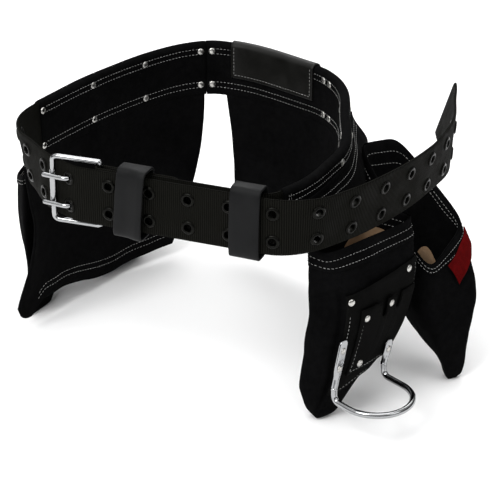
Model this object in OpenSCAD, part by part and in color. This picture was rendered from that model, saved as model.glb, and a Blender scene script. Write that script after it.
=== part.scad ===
// Carpenter's tool belt: grommeted web strap, double-prong buckle, suede sleeves, panels and bags.
// Millimetres, +Z up, origin on the ground under the middle of the belt.

/* [Strap] */
// Width of the webbing
web_w = 50.8; // [50:0.2:51]
// Thickness of the webbing
web_t = 3; // [2.6:0.1:3.2]
// Height of the strap's lower edge above the ground
web_z = 169; // [168:1:170]
// Distance from one eyelet column to the next
eyelet_pitch = 37.2; // [36.8:0.1:37.6]
// Distance between the two eyelet rows
eyelet_rows = 25.4; // [24:0.2:27]
// Radius of the open hole in an eyelet
eyelet_r = 3.4; // [3.2:0.1:3.6]

/* [Buckle] */
// Radius of the buckle frame's rod
rod_r = 2.25; // [2:0.05:2.5]
// Height of the buckle frame between rod centres
frame_h = 59; // [57:1:61]
// Radius of the frame's corner bends
frame_bend = 4; // [3.5:0.5:4]
// Half the thickness of a prong
prong_r = 2; // [1.8:0.1:2.1]
// Length of the roller on the front bar
roller_len = 34; // [32:1:38]

/* [Keepers] */
// Width of each keeper along the strap
keeper_w = 27; // [22:1:28]
// Height of each keeper
keeper_h = 65; // [62:1:68]
// Thickness of the keeper leather
keeper_t = 2.5; // [2:0.1:2.8]

/* [Suede] */
// Thickness of one suede layer
suede_t = 2.4; // [2:0.1:2.6]
// Height of the suede sleeve around the strap
sleeve_h = 54; // [53:0.5:56]
// Wall thickness of the bags
bag_t = 2.6; // [2:0.2:3.2]

/* [Hammer loop] */
// Radius of the hammer loop's rod
loop_rod = 2.8; // [2.4:0.1:3]

/* [Hidden] */
$fn = 48;

// The plan is laid out around the buckle and moved so that the belt stands over the origin
plan_shift = [8.4, -50.3];
heel = [-126.5, -64.5];
front_dir = -22;
frame_len = 43.7;
frame_turn = front_dir + 182.9;
tail_gap = 7.6;
mid_z = web_z + web_w / 2;
row_z = [mid_z + eyelet_rows / 2, mid_z - eyelet_rows / 2];

// A place beside the straight front of the strap: u along it from the heel bar, w outward
function along(u, w) = heel + u * [cos(front_dir), sin(front_dir)]
    + w * [sin(front_dir), -cos(front_dir)];
function knot_at(u, w, dir) = [along(u, w).x, along(u, w).y, dir];

// The strap's run in plan, anticlockwise from the heel bar: [x, y, heading]
knots = [
    knot_at(9, 0, front_dir),
    knot_at(145, 0, front_dir),
    [34, -106, 46],
    [72, -43, 64],
    [85, 50, 90],
    [79, 142, 112],
    [58, 173, 139],
    [-18, 231, 158],
    [-43, 235, 190],
    [-94, 206, 223],
    [-190, 83, 238],
    [-206, 38, 270],
    [-196, 4, 305],
    knot_at(-41, -2.1, front_dir + 336),
    knot_at(-26, 4.58, front_dir + 336),
    knot_at(-22.3, 6.23, front_dir + 336),
    knot_at(-16, tail_gap, front_dir + 360),
    knot_at(152, tail_gap, front_dir + 360),
    [50, -128, 379],
    [82, -106, 399],
    [109, -79, 408],
    [132, -51, 414],
    [154, -17, 420],
    [169, 13, 425],
    [180, 46, 441],
    [181, 90, 450],
    [182, 128, 450]
];
sleeve_start = 156;
seam_knot = 8;
sleeve_knot = 10;
prong_knot = 14;

function flat(p) = [p.x, p.y];
function unit(a) = [cos(a), sin(a)];
function is_straight(a, b) = abs(cross(unit(a.z), unit(b.z))) < 1e-6
    && abs(cross(unit(a.z), flat(b) - flat(a))) < 1e-6;
function bend_steps(a, b) = is_straight(a, b) ? 1 : max(2, ceil(norm(flat(b) - flat(a)) / 7));
function bend(a, b, t) = let (
        reach = 0.36 * norm(flat(b) - flat(a)),
        p1 = flat(a) + reach * unit(a.z),
        p2 = flat(b) - reach * unit(b.z)
    ) pow(1 - t, 3) * flat(a) + 3 * t * pow(1 - t, 2) * p1
        + 3 * t * t * (1 - t) * p2 + pow(t, 3) * flat(b);
function leg(i) = let (n = bend_steps(knots[i], knots[i + 1]))
    [for (j = [0:n]) bend(knots[i], knots[i + 1], j / n)];
function run_length(pts, i = 0) = i >= len(pts) - 1 ? 0
    : norm(pts[i + 1] - pts[i]) + run_length(pts, i + 1);
legs = [for (i = [0:len(knots) - 2]) leg(i)];
knot_s = [for (i = 0, s = 0; i < len(knots); s = s + (i < len(legs) ? run_length(legs[i]) : 0),
    i = i + 1) s];
path = concat([flat(knots[0])], [for (l = legs) for (j = [1:len(l) - 1]) l[j]]);
path_s = [for (i = 0, s = 0; i < len(path);
    s = s + (i < len(path) - 1 ? norm(path[i + 1] - path[i]) : 0), i = i + 1) s];
xs = [for (i = [0:len(path) - 1]) [path_s[i], path[i].x]];
ys = [for (i = [0:len(path) - 1]) [path_s[i], path[i].y]];
strap_len = path_s[len(path) - 1];

// Points on and beside the strap: s is the distance along it, w the distance outward
function on_path(s) = [lookup(s, xs), lookup(s, ys)];
function heading(s) = let (d = on_path(min(s + 2, strap_len)) - on_path(max(s - 2, 0)))
    atan2(d.y, d.x);
function beside(s, w) = on_path(s) + w * [sin(heading(s)), -cos(heading(s))];
function stops(a, b) = concat([a], [for (s = path_s) if (s > a + 1 && s < b - 1) s], [b]);
function mix(a, b, t) = a + (b - a) * t;

module band(a, b, w0, w1, z0, z1) {
    stations = stops(a, b);
    last = len(stations) - 1;
    translate([plan_shift.x, plan_shift.y, z0])
        linear_extrude(z1 - z0)
            polygon(concat([for (s = stations) beside(s, w1)],
                [for (i = [0:last]) beside(stations[last - i], w0)]));
}

// Stands its children at (s, z) on the strap, with their +Z pointing outward
module on_strap(s, z) {
    p = on_path(s);
    translate([p.x + plan_shift.x, p.y + plan_shift.y, z])
        rotate([0, 0, heading(s) - 90])
            rotate([0, 90, 0])
                children();
}

// Stands its children in the buckle's frame: +X along the front, -Y outward, origin on the heel bar
module at_heel() {
    translate([heel.x + plan_shift.x, heel.y + plan_shift.y, 0])
        rotate([0, 0, front_dir])
            children();
}

eyelet_s = [for (k = [-3:1:12]) let (s = knot_s[prong_knot] + k * eyelet_pitch)
    if (s > knot_s[sleeve_knot] + 14 && s < strap_len - 8) s];
front_s = knot_s[prong_knot + 2] + 6;
tail_s = knot_s[prong_knot + 3] - 14;
barrel_r = eyelet_r + 0.6;
flange_r = barrel_r + 2;
flange_t = 0.7;
flange_gap = 0.85;
hole_gap = 0.05;

left_rivet_s = [for (d = [6, 72, 143, 218]) knot_s[seam_knot] + d];
right_rivet_s = [for (d = [6, 145, 157, 222, 282, 340]) knot_s[seam_knot] - d];
rivet_z = [web_z + web_w - 8, web_z + 8.5];
rivet_r = 1.6;
sleeve_in = web_t / 2 + 0.4;
sleeve_out = sleeve_in + suede_t;
sleeve_z = web_z - 2;

// One run of the strap, pierced for its eyelets and rivets
module web_run(a, b) {
    color("#15150f")
        difference() {
            band(a, b, -web_t / 2, web_t / 2, web_z, web_z + web_w);
            for (s = eyelet_s, z = row_z)
                if (s > a && s < b)
                    on_strap(s, z)
                        cylinder(r = barrel_r + hole_gap, h = 4 * web_t, center = true);
            for (s = concat(left_rivet_s, right_rivet_s), z = rivet_z)
                if (s > a && s < b)
                    on_strap(s, z)
                        cylinder(r = rivet_r + hole_gap, h = 4 * web_t, center = true);
            if (a == 0)
                chape_rivet_places()
                    cylinder(r = rivet_r + hole_gap, h = 4 * web_t, center = true);
        }
}

module web_loop() {
    web_run(0, front_s);
}

module web_front() {
    web_run(front_s, tail_s);
}

module web_tail() {
    web_run(tail_s, strap_len);
}

module eyelet() {
    half = web_t / 2 + flange_gap;
    difference() {
        union() {
            cylinder(r = barrel_r, h = 2 * half, center = true);
            translate([0, 0, half])
                cylinder(r = flange_r, h = flange_t);
            translate([0, 0, -half - flange_t])
                cylinder(r = flange_r, h = flange_t);
        }
        cylinder(r = eyelet_r, h = 4 * web_t, center = true);
    }
}

module upper_eyelets() {
    color("#1c1c1c")
        for (s = eyelet_s)
            on_strap(s, row_z[0])
                eyelet();
}

module lower_eyelets() {
    color("#1c1c1c")
        for (s = eyelet_s)
            on_strap(s, row_z[1])
                eyelet();
}

// Buckle frame: heel bar at x = 0, front bar at x = frame_len, both upright
module frame_bars() {
    span = frame_h - 2 * frame_bend;
    for (x = [0, frame_len])
        translate([x, 0, mid_z - span / 2])
            cylinder(r = rod_r, h = span);
    for (side = [-1, 1])
        translate([frame_bend, 0, mid_z + side * frame_h / 2])
            rotate([0, 90, 0])
                cylinder(r = rod_r, h = frame_len - 2 * frame_bend);
}

module frame_corner(x, z, turn) {
    translate([x, 0, z])
        rotate([90, 0, 0])
            rotate([0, 0, turn])
                rotate_extrude(angle = 90)
                    translate([frame_bend, 0])
                        circle(r = rod_r);
}

module buckle_frame() {
    top = mid_z + frame_h / 2 - frame_bend;
    bottom = mid_z - frame_h / 2 + frame_bend;
    color("#c9ccd0")
        translate([heel.x + plan_shift.x, heel.y + plan_shift.y, 0])
            rotate([0, 0, frame_turn]) {
                frame_bars();
                frame_corner(frame_len - frame_bend, top, 0);
                frame_corner(frame_bend, top, 90);
                frame_corner(frame_bend, bottom, 180);
                frame_corner(frame_len - frame_bend, bottom, 270);
            }
}

roller_r = 2.9;
roller_bore = rod_r + 0.06;

module front_roller() {
    color("#d4d6d9")
        translate([heel.x + plan_shift.x, heel.y + plan_shift.y, mid_z - roller_len / 2])
            rotate([0, 0, frame_turn])
                translate([frame_len, 0, 0])
                    difference() {
                        cylinder(r = roller_r, h = roller_len);
                        translate([0, 0, -1])
                            cylinder(r = roller_bore, h = roller_len + 2);
                    }
}

// Prong: an eye on the heel bar, a hidden leg, a crank through the eyelet and a leg over the roller
eye_r = 4;
eye_h = 5;
prong_line = [[-3.2, 0], [-23.8, -0.4], [-27.9, 8.8], [-43.6, 7.6], [-52, 6.5]];

function left_of(d) = [-d.y, d.x] / norm(d);
// The corner of a bar's outline beside point i of its line, mitred where the line turns
function bar_corner(line, i, r) = let (
        before = left_of(line[max(i, 1)] - line[max(i, 1) - 1]),
        after = left_of(line[min(i, len(line) - 2) + 1] - line[min(i, len(line) - 2)]),
        m = before + after
    ) line[i] + 2 * r * m / (m * m);

module prong(z) {
    bar = [for (p = prong_line) [p.x, -p.y]];
    last = len(bar) - 1;
    at_heel()
        translate([0, 0, z])
            difference() {
                union() {
                    translate([0, 0, -eye_h / 2])
                        cylinder(r = eye_r, h = eye_h);
                    translate([0, 0, -prong_r])
                        linear_extrude(2 * prong_r)
                            polygon(concat([for (i = [0:last]) bar_corner(bar, i, prong_r)],
                                [for (i = [0:last]) bar_corner(bar, last - i, -prong_r)]));
                }
                translate([0, 0, -eye_h])
                    cylinder(r = rod_r + 0.06, h = 2 * eye_h);
            }
}

module prong_upper() {
    color("#d8dadc")
        prong(row_z[0]);
}

module prong_lower() {
    color("#d8dadc")
        prong(row_z[1]);
}

// Chape: leather folded round the heel bar, slotted for the prongs, riveted through the web's end
chape_in = 2.45;
chape_t = 2;
chape_h = web_w - 1;
chape_rivet_u = 19;

module chape_rivet_places() {
    at_heel()
        for (z = [mid_z - 7, mid_z + 7])
            translate([chape_rivet_u, 0, z])
                rotate([90, 0, 0])
                    children();
}

module buckle_chape() {
    outer = chape_in + chape_t;
    color("#242526")
        difference() {
            at_heel()
                translate([0, 0, mid_z - chape_h / 2])
                    difference() {
                        union() {
                            cylinder(r = outer, h = chape_h);
                            translate([0, -outer, 0])
                                cube([24, outer * 2, chape_h]);
                            translate([0, chape_in, 0])
                                cube([75, chape_t, chape_h]);
                        }
                        cylinder(r = chape_in, h = 3 * chape_h, center = true);
                        translate([0, -chape_in, -1])
                            cube([90, 2 * chape_in, chape_h + 2]);
                        for (z = row_z)
                            translate([-8, -8, z - mid_z + chape_h / 2 - 3.4])
                                cube([15, 16, 6.8]);
                    }
            chape_rivet_places()
                cylinder(r = rivet_r + hole_gap, h = 16, center = true);
        }
}

module chape_rivets() {
    outer = chape_in + chape_t;
    color("#b9bbbd")
        chape_rivet_places() {
            cylinder(r = rivet_r, h = 2 * outer, center = true);
            for (side = [0, 1])
                mirror([0, 0, side])
                    translate([0, 0, outer])
                        cylinder(r = 3, h = 0.25);
        }
}

module round_box(w, h, r) {
    square([w - 2 * r, h], center = true);
    square([w, h - 2 * r], center = true);
    for (x = [-1, 1], y = [-1, 1])
        translate([x * (w / 2 - r), y * (h / 2 - r)])
            circle(r = r);
}

// Keeper: a folded leather band round both runs of the strap, from w_in to w_out beside it
keeper_out = tail_gap + web_t / 2 + flange_gap + flange_t + 0.45;

module keeper(u, w_in) {
    inner = keeper_out - w_in;
    at_heel()
        translate([u - keeper_w / 2, -(keeper_out + w_in) / 2, mid_z])
            rotate([90, 0, 90])
                linear_extrude(keeper_w)
                    difference() {
                        round_box(inner + 2 * keeper_t, keeper_h, 5);
                        round_box(inner, keeper_h - 2 * keeper_t, 2.5);
                    }
}

module keeper_by_buckle() {
    color("#3a3b3d")
        keeper(32, -4.9);
}

module keeper_by_sleeve() {
    color("#3a3b3d")
        keeper(136, -4.9);
}

// Sleeve: suede folded over the strap's top edge, open below between its two layers
module sleeve(a, b, holes) {
    top = sleeve_z + sleeve_h;
    color("#161616")
        difference() {
            union() {
                band(a, b, sleeve_in, sleeve_out, sleeve_z, top);
                band(a, b, -sleeve_out, -sleeve_in, sleeve_z, top);
                band(a, b, -sleeve_out, sleeve_out, web_z + web_w + 0.4, top);
            }
            for (s = holes, z = rivet_z)
                on_strap(s, z)
                    cylinder(r = rivet_r + hole_gap, h = 20, center = true);
        }
}

module left_sleeve() {
    sleeve(knot_s[seam_knot] + 0.3, knot_s[sleeve_knot] + 4, left_rivet_s);
}

module right_sleeve() {
    sleeve(sleeve_start, knot_s[seam_knot] - 0.3, right_rivet_s);
}

module rivet(half) {
    cylinder(r = rivet_r, h = 2 * half, center = true);
    for (side = [0, 1])
        mirror([0, 0, side])
            translate([0, 0, half])
                rivet_cap();
}

module rivet_cap() {
    cylinder(r = 3.4, h = 0.6);
    translate([0, 0, 0.6])
        cylinder(r = 2.5, h = 0.5);
}

module left_sleeve_rivets() {
    color("#c4c0b8")
        for (s = left_rivet_s, z = rivet_z)
            on_strap(s, z)
                rivet(sleeve_out + 0.45);
}

module right_sleeve_rivets() {
    color("#c4c0b8")
        for (s = right_rivet_s, z = rivet_z)
            on_strap(s, z)
                rivet(sleeve_out + 0.45);
}

// Smooth leather patch folded over the sleeve behind the wearer's back
module back_patch() {
    a = knot_s[seam_knot] - 128;
    b = knot_s[seam_knot] - 28;
    top = sleeve_z + sleeve_h + 0.2;
    face = sleeve_out + 0.2;
    color("#1d1d1e")
        union() {
            band(a, b, face, face + 1.6, top - 34, top + 1.6);
            band(a, b, -face - 1.6, -face, top - 34, top + 1.6);
            band(a, b, -face - 1.6, face + 1.6, top, top + 1.6);
        }
}

// Closes the space between two point grids of the same size: the first faces outward
module thick_sheet(outer, inner) {
    rows = len(outer);
    cols = len(outer[0]);
    shift = rows * cols;
    last = rows - 1;
    edge = cols - 1;
    points = concat([for (row = outer, p = row) p], [for (row = inner, p = row) p]);
    quads = concat(
        [for (i = [0:last - 1], j = [0:edge - 1])
            [i * cols + j, i * cols + j + 1, (i + 1) * cols + j + 1, (i + 1) * cols + j]],
        [for (i = [0:last - 1], j = [0:edge - 1]) [shift + i * cols + j,
            shift + (i + 1) * cols + j, shift + (i + 1) * cols + j + 1, shift + i * cols + j + 1]],
        [for (j = [0:edge - 1]) [j + 1, j, shift + j, shift + j + 1]],
        [for (j = [0:edge - 1]) [last * cols + j, last * cols + j + 1,
            shift + last * cols + j + 1, shift + last * cols + j]],
        [for (i = [0:last - 1]) [i * cols, (i + 1) * cols,
            shift + (i + 1) * cols, shift + i * cols]],
        [for (i = [0:last - 1]) [(i + 1) * cols + edge, i * cols + edge,
            shift + i * cols + edge, shift + (i + 1) * cols + edge]]);
    triangles = [for (q = quads) each [[q[0], q[1], q[2]], [q[0], q[2], q[3]]]];
    polyhedron(points, triangles);
}

function lift(p, z) = [p.x + plan_shift.x, p.y + plan_shift.y, z];
panel_top = sleeve_z;
panel_rows = 8;
panel_cols = 26;

// 0 to 1 with level ends, for x from 0 to 1
function eased(x) = let (c = min(max(x, 0), 1)) c * c * (3 - 2 * c);

// A hanging panel: its ends and its lower edge are functions of the height and of the length
function left_from(v) = knot_s[seam_knot] + 3 + 40 * pow(v, 2.2);
function left_to(v) = knot_s[sleeve_knot] + 42 - 8 * sin(180 * v);
function left_low(t) = 8 + 6 * pow(1 - t, 2) + 16 * eased((t - 0.35) / 0.4)
    - 12 * eased((t - 0.84) / 0.1) + 14 * (1 - sqrt(1 - pow(max(0, (t - 0.93) / 0.07), 2)));
function right_from(v) = sleeve_start + 60 - 6 * v;
function right_to(v) = knot_s[seam_knot] - 22 - 9 * sin(120 * v);
function right_low(t) = 34 - 4 * sin(180 * t);

function panel_grid(left, w) = [for (i = [0:panel_rows])
    let (v = i / panel_rows,
        a = left ? left_from(v) : right_from(v),
        b = left ? left_to(v) : right_to(v))
    [for (j = [0:panel_cols])
        let (t = j / panel_cols, low = left ? left_low(t) : right_low(t))
        lift(beside(mix(a, b, t), w), mix(panel_top, low, v))]];

module left_panel() {
    color("#161616")
        thick_sheet(panel_grid(true, -sleeve_in), panel_grid(true, -sleeve_out));
}

module right_panel() {
    color("#161616")
        thick_sheet(panel_grid(false, -sleeve_in), panel_grid(false, -sleeve_out));
}

// Bags. A level is four corners at one height, anticlockwise from above, starting with the
// back corner further along the strap: back, back, front, front. Levels run from rim to bottom.
round_power = 0.35;
ring_steps = 40;
ring_levels = 3;

function squircle(a) = [sign(cos(a)) * pow(abs(cos(a)), round_power),
    sign(sin(a)) * pow(abs(sin(a)), round_power)];
function level_at(levels, v) = let (
        x = v * (len(levels) - 1),
        i = min(floor(x), len(levels) - 2),
        t = x - i
    ) [for (c = [0:3]) mix(levels[i][c], levels[i + 1][c], t)];
function middle(level) = (level[0] + level[1] + level[2] + level[3]) / 4;
// Moves a point of a level outward from the level's middle
function grown(p, c, g) = let (d = [p.x - c.x, p.y - c.y]) p + g * [d.x, d.y, 0] / norm(d);
function ring_point(level, q, g) = let (
        a = (q.x + 1) / 2,
        b = (q.y + 1) / 2,
        p = mix(mix(level[0], level[1], a), mix(level[3], level[2], a), b)
    ) grown(p, middle(level), g) + [plan_shift.x, plan_shift.y, 0];
function bag_ring(levels, v, g, dz) = [for (k = [0:ring_steps - 1])
    ring_point(level_at(levels, v), squircle(k * 360 / ring_steps), g) + [0, 0, dz]];

module bag_shell(levels) {
    count = ring_levels * (len(levels) - 1);
    n = ring_steps;
    outer = [for (i = [0:count]) bag_ring(levels, i / count, 0, 0)];
    inner = [for (i = [0:count]) bag_ring(levels, i / count, -bag_t, i == 0 ? 0 : bag_t * i / count)];
    points = concat([for (r = outer, p = r) p], [for (r = inner, p = r) p]);
    shift = (count + 1) * n;
    walls = [for (i = [0:count - 1], k = [0:n - 1]) let (m = (k + 1) % n) each [
        [i * n + k, (i + 1) * n + k, (i + 1) * n + m],
        [i * n + k, (i + 1) * n + m, i * n + m],
        [shift + i * n + k, shift + (i + 1) * n + m, shift + (i + 1) * n + k],
        [shift + i * n + k, shift + i * n + m, shift + (i + 1) * n + m]]];
    rim = [for (k = [0:n - 1]) let (m = (k + 1) % n) each [
        [k, m, shift + m],
        [k, shift + m, shift + k]]];
    base = [for (k = [1:n - 2]) each [
        [count * n, count * n + k + 1, count * n + k],
        [shift + count * n, shift + count * n + k, shift + count * n + k + 1]]];
    polyhedron(points, [for (f = concat(walls, rim, base)) [f[0], f[2], f[1]]]);
}

main_levels = [
    [[86, -14, 166], [46, -108, 166], [64, -119, 162], [146, -44, 163]],
    [[88, -16, 118], [45, -106, 118], [82, -118, 116], [149, -50, 116]],
    [[86, -30, 62], [42, -104, 64], [76, -120, 62], [133, -58, 62]],
    [[70, -66, 30], [40, -102, 32], [68, -119, 30], [98, -86, 30]],
    [[66, -86, 8], [45, -100, 10], [58, -116, 8], [78, -102, 8]],
    [[62, -96, 0], [54, -101, 0], [58, -109, 0], [68, -103, 0]]
];
second_levels = [
    [[134, 64, 191], [95, 36, 196], [156, -48, 110], [194, 20, 126]],
    [[146, 56, 138], [97, 20, 150], [157, -51, 95], [201, 4, 104]],
    [[148, 40, 90], [104, 8, 94], [157, -53, 72], [206.5, -22, 78]],
    [[167, 14, 46], [138, -3, 46], [164, -52, 44], [201, -32, 46]],
    [[184, -14, 16], [168, -22, 16], [174, -48, 16], [194, -37, 16]],
    [[184, -25, 0], [175, -29, 0], [178, -40, 0], [187, -35, 0]]
];
left_main_levels = [
    [[-148, 163, 160], [-86, 222, 160], [-118, 258, 150], [-184, 200, 150]],
    [[-148, 163, 90], [-88, 222, 90], [-122, 264, 90], [-190, 206, 90]],
    [[-150, 164, 30], [-98, 216, 30], [-128, 256, 30], [-188, 204, 30]],
    [[-156, 172, 0], [-112, 212, 0], [-130, 236, 0], [-174, 200, 0]]
];
left_small_levels = [
    [[-206, 64, 152], [-158, 152, 160], [-194, 188, 140], [-217, 96, 140]],
    [[-208, 62, 112], [-160, 152, 110], [-196, 190, 110], [-219, 94, 110]],
    [[-207, 68, 50], [-170, 144, 46], [-198, 178, 46], [-211, 100, 48]],
    [[-210, 80, 0], [-190, 116, 0], [-202, 134, 0], [-213, 104, 0]]
];

module right_main_bag() {
    color("#161616")
        bag_shell(main_levels);
}

module right_second_bag() {
    color("#161616")
        bag_shell(second_levels);
}

module left_main_bag() {
    color("#161616")
        bag_shell(left_main_levels);
}

module left_small_bag() {
    color("#161616")
        bag_shell(left_small_levels);
}

// A leather piece laid on a bag's front, from angle a0 to a1 and from level v0 to v1
function front_grid(levels, a0, a1, v0, v1, g, cols, rows) = [for (i = [0:rows])
    [for (j = [0:cols])
        ring_point(level_at(levels, mix(v0, v1, i / rows)), squircle(mix(a0, a1, j / cols)), g)]];

module front_piece(levels, a0, a1, v0, v1, gap, t, cols, rows) {
    thick_sheet(front_grid(levels, a0, a1, v0, v1, gap + t, cols, rows),
        front_grid(levels, a0, a1, v0, v1, gap, cols, rows));
}

patch_gap = 0.6;
patch_t = 2;
holder_gap = patch_gap + patch_t + 0.5;
facet = 360 / ring_steps;
main_step = 1 / (ring_levels * (len(main_levels) - 1));
second_step = 1 / (ring_levels * (len(second_levels) - 1));

module tool_patch() {
    color("#1b1b1b")
        front_piece(main_levels, 5 * facet, 14 * facet, 3 * main_step, 9 * main_step,
            patch_gap, patch_t, 9, 6);
}

module slotted_holder() {
    color("#1b1b1b")
        difference() {
            front_piece(main_levels, 8 * facet, 13 * facet, 4 * main_step, 7 * main_step,
                holder_gap, patch_t, 5, 3);
            for (angle = [90, 99])
                on_front(angle, 4.2 * main_step, 0)
                    cylinder(r = 3.2, h = 30, center = true);
        }
}

// Stands its children on the main bag's front with +Z pointing out of it
module on_front(angle, v, g) {
    level = level_at(main_levels, v);
    p = ring_point(level, squircle(angle), g);
    along_x = ring_point(level, squircle(angle - 3), g) - ring_point(level, squircle(angle + 3), g);
    down = ring_point(level_at(main_levels, v + 0.02), squircle(angle), g)
        - ring_point(level_at(main_levels, v - 0.02), squircle(angle), g);
    out = cross(along_x, down);
    translate(p)
        rotate([0, acos(out.z / norm(out)), atan2(out.y, out.x)])
            children();
}

module patch_rivets() {
    color("#c4c0b8") {
        for (angle = [68, 118])
            on_front(angle, 3.35 * main_step, patch_gap + patch_t + 0.6)
                rivet_cap();
        for (place = [[85, 4.5], [91.5, 4.5], [85, 6.6]])
            on_front(place[0], place[1] * main_step, holder_gap + patch_t + 0.6)
                rivet_cap();
    }
}

// Hammer loop: flat arms riveted to the patch, with a round rod standing out between their feet.
// An arm is [foot, lean along the bag's front, length, rivet heights above the foot].
loop_dir = -50;
face_dir = -41;
loop_z = 30;
loop_bend = 6;
arm_foot_z = 42;
arm_w = 10;
arm_t = 2.5;
arm_left = [[71.8, -130], 17, 44, [8, 34]];
arm_right = [[116.5, -84.4], 22, 22, [13]];
loop_axis = [cos(loop_dir), sin(loop_dir)];
loop_side = [-sin(loop_dir), cos(loop_dir)];
loop_half = (arm_right[0] - arm_left[0]) * loop_side / 2;
loop_step = (arm_left[0] - arm_right[0]) * loop_axis;
leg_l = 18;

// Stands its children at an arm's foot: +X along the bag's front, +Z up the arm, -Y outward
module at_arm(arm) {
    translate([arm[0].x + plan_shift.x, arm[0].y + plan_shift.y, arm_foot_z])
        rotate([0, 0, face_dir + 90])
            rotate([0, arm[1], 0])
                children();
}

module arm_rivet_places(arm) {
    at_arm(arm)
        for (z = arm[3])
            translate([0, -arm_t / 2, z])
                rotate([90, 0, 0])
                    children();
}

module loop_arm(arm) {
    difference() {
        at_arm(arm)
            translate([-arm_w / 2, -arm_t / 2, 0])
                cube([arm_w, arm_t, arm[2]]);
        arm_rivet_places(arm)
            cylinder(r = rivet_r + hole_gap, h = 12, center = true);
    }
}

// Rod from an arm's foot down, round a bend and out to the half circle
module loop_leg(foot, reach) {
    translate([foot.x + plan_shift.x, foot.y + plan_shift.y, loop_z])
        rotate([0, 0, loop_dir]) {
            translate([0, 0, loop_bend])
                cylinder(r = loop_rod, h = arm_foot_z + 2 - loop_z - loop_bend);
            translate([loop_bend, 0, loop_bend])
                rotate([90, 0, 0])
                    rotate([0, 0, 180])
                        rotate_extrude(angle = 90)
                            translate([loop_bend, 0])
                                circle(r = loop_rod);
            translate([loop_bend, 0, 0])
                rotate([0, 90, 0])
                    cylinder(r = loop_rod, h = reach - loop_bend);
        }
}

module hammer_loop() {
    mid = arm_left[0] + leg_l * loop_axis + loop_half * loop_side + plan_shift;
    color("#cfd1d4") {
        loop_arm(arm_left);
        loop_arm(arm_right);
        loop_leg(arm_left[0], leg_l);
        loop_leg(arm_right[0], leg_l + loop_step);
        translate([mid.x, mid.y, loop_z])
            rotate([0, 0, loop_dir - 90])
                rotate_extrude(angle = 180)
                    translate([loop_half, 0])
                        circle(r = loop_rod);
    }
}

module hammer_loop_rivets() {
    color("#c4c0b8")
        for (arm = [arm_left, arm_right])
            arm_rivet_places(arm) {
                translate([0, 0, -arm_t])
                    cylinder(r = rivet_r, h = arm_t + 0.2);
                translate([0, 0, 0.2])
                    rivet_cap();
            }
}

module side_tab() {
    color("#7d0d12")
        front_piece(second_levels, 9 * facet, 14 * facet, second_step, 4 * second_step,
            0.6, 1.4, 5, 3);
}

web_loop();
web_front();
web_tail();
upper_eyelets();
lower_eyelets();
buckle_frame();
front_roller();
prong_upper();
prong_lower();
buckle_chape();
chape_rivets();
keeper_by_buckle();
keeper_by_sleeve();
left_sleeve();
right_sleeve();
left_sleeve_rivets();
right_sleeve_rivets();
back_patch();
left_panel();
right_panel();
left_main_bag();
left_small_bag();
right_main_bag();
right_second_bag();
tool_patch();
slotted_holder();
patch_rivets();
hammer_loop();
hammer_loop_rivets();
side_tab();
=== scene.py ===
import bpy
from math import atan2, ceil, copysign, cos, exp, hypot, pi, radians, sin, sqrt
import numpy as np
from numpy.linalg import norm
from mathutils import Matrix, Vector, noise


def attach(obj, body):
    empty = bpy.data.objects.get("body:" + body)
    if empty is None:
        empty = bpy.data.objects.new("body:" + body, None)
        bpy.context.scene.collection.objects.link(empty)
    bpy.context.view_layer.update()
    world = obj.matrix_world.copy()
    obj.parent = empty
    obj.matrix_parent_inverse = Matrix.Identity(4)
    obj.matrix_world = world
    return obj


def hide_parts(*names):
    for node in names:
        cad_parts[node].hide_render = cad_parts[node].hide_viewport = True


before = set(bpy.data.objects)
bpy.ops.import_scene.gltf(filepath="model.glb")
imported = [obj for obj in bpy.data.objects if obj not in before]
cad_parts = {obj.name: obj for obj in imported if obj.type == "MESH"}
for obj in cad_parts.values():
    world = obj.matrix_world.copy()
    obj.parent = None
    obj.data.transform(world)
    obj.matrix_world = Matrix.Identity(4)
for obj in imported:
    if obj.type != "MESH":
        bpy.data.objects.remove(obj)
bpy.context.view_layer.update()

# Lengths below are millimetres in the model's frame; meshes are written in metres.
MM = 0.001
SHIFT = np.array([8.4, -50.3])
HEEL = np.array([-126.5, -64.5])
FRONT = -22.0
TAIL_GAP = 7.6
WEB_W = 50.8
WEB_T = 3.0
WEB_Z = 169.0
MID_Z = WEB_Z + WEB_W / 2
ROW_Z = (MID_Z + 12.7, MID_Z - 12.7)
PITCH = 37.2
HOLE_R = 4.2
SLEEVE_OUT = 4.3
SLEEVE_IN = 1.9
SLEEVE_Z = 167.0
SLEEVE_TOP = 221.0
RIVET_Z = (211.8, 177.5)
PANEL_W = -3.15


# ---------- the strap's run in plan

def along(u, w):
    """A plan point u along the front of the strap and w outward from the buckle's heel bar."""
    a = radians(FRONT)
    return HEEL + u * np.array([cos(a), sin(a)]) + w * np.array([sin(a), -cos(a)])


def knot_at(u, w, turn):
    return (*along(u, w), turn)


KNOTS = [
    knot_at(9, 0, FRONT), knot_at(145, 0, FRONT), (34, -106, 46), (72, -43, 64), (85, 50, 90),
    (79, 142, 112), (58, 173, 139), (-18, 231, 158), (-43, 235, 190), (-94, 206, 223),
    (-190, 83, 238), (-206, 38, 270), (-196, 4, 305), knot_at(-41, -2.1, FRONT + 336),
    knot_at(-26, 4.58, FRONT + 336), knot_at(-22.3, 6.23, FRONT + 336),
    knot_at(-16, TAIL_GAP, FRONT + 360), knot_at(152, TAIL_GAP, FRONT + 360), (50, -128, 379),
    (82, -106, 399), (109, -79, 408), (132, -51, 414), (154, -17, 420), (169, 13, 425),
    (180, 46, 441), (181, 90, 450), (182, 128, 450),
]


def unit(turn):
    a = radians(turn)
    return np.array([cos(a), sin(a)])


def bend(a, b, t):
    pa, pb = np.array(a[:2]), np.array(b[:2])
    reach = 0.36 * norm(pb - pa)
    p1, p2 = pa + reach * unit(a[2]), pb - reach * unit(b[2])
    return (1 - t) ** 3 * pa + 3 * t * (1 - t) ** 2 * p1 + 3 * t * t * (1 - t) * p2 + t ** 3 * pb


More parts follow.
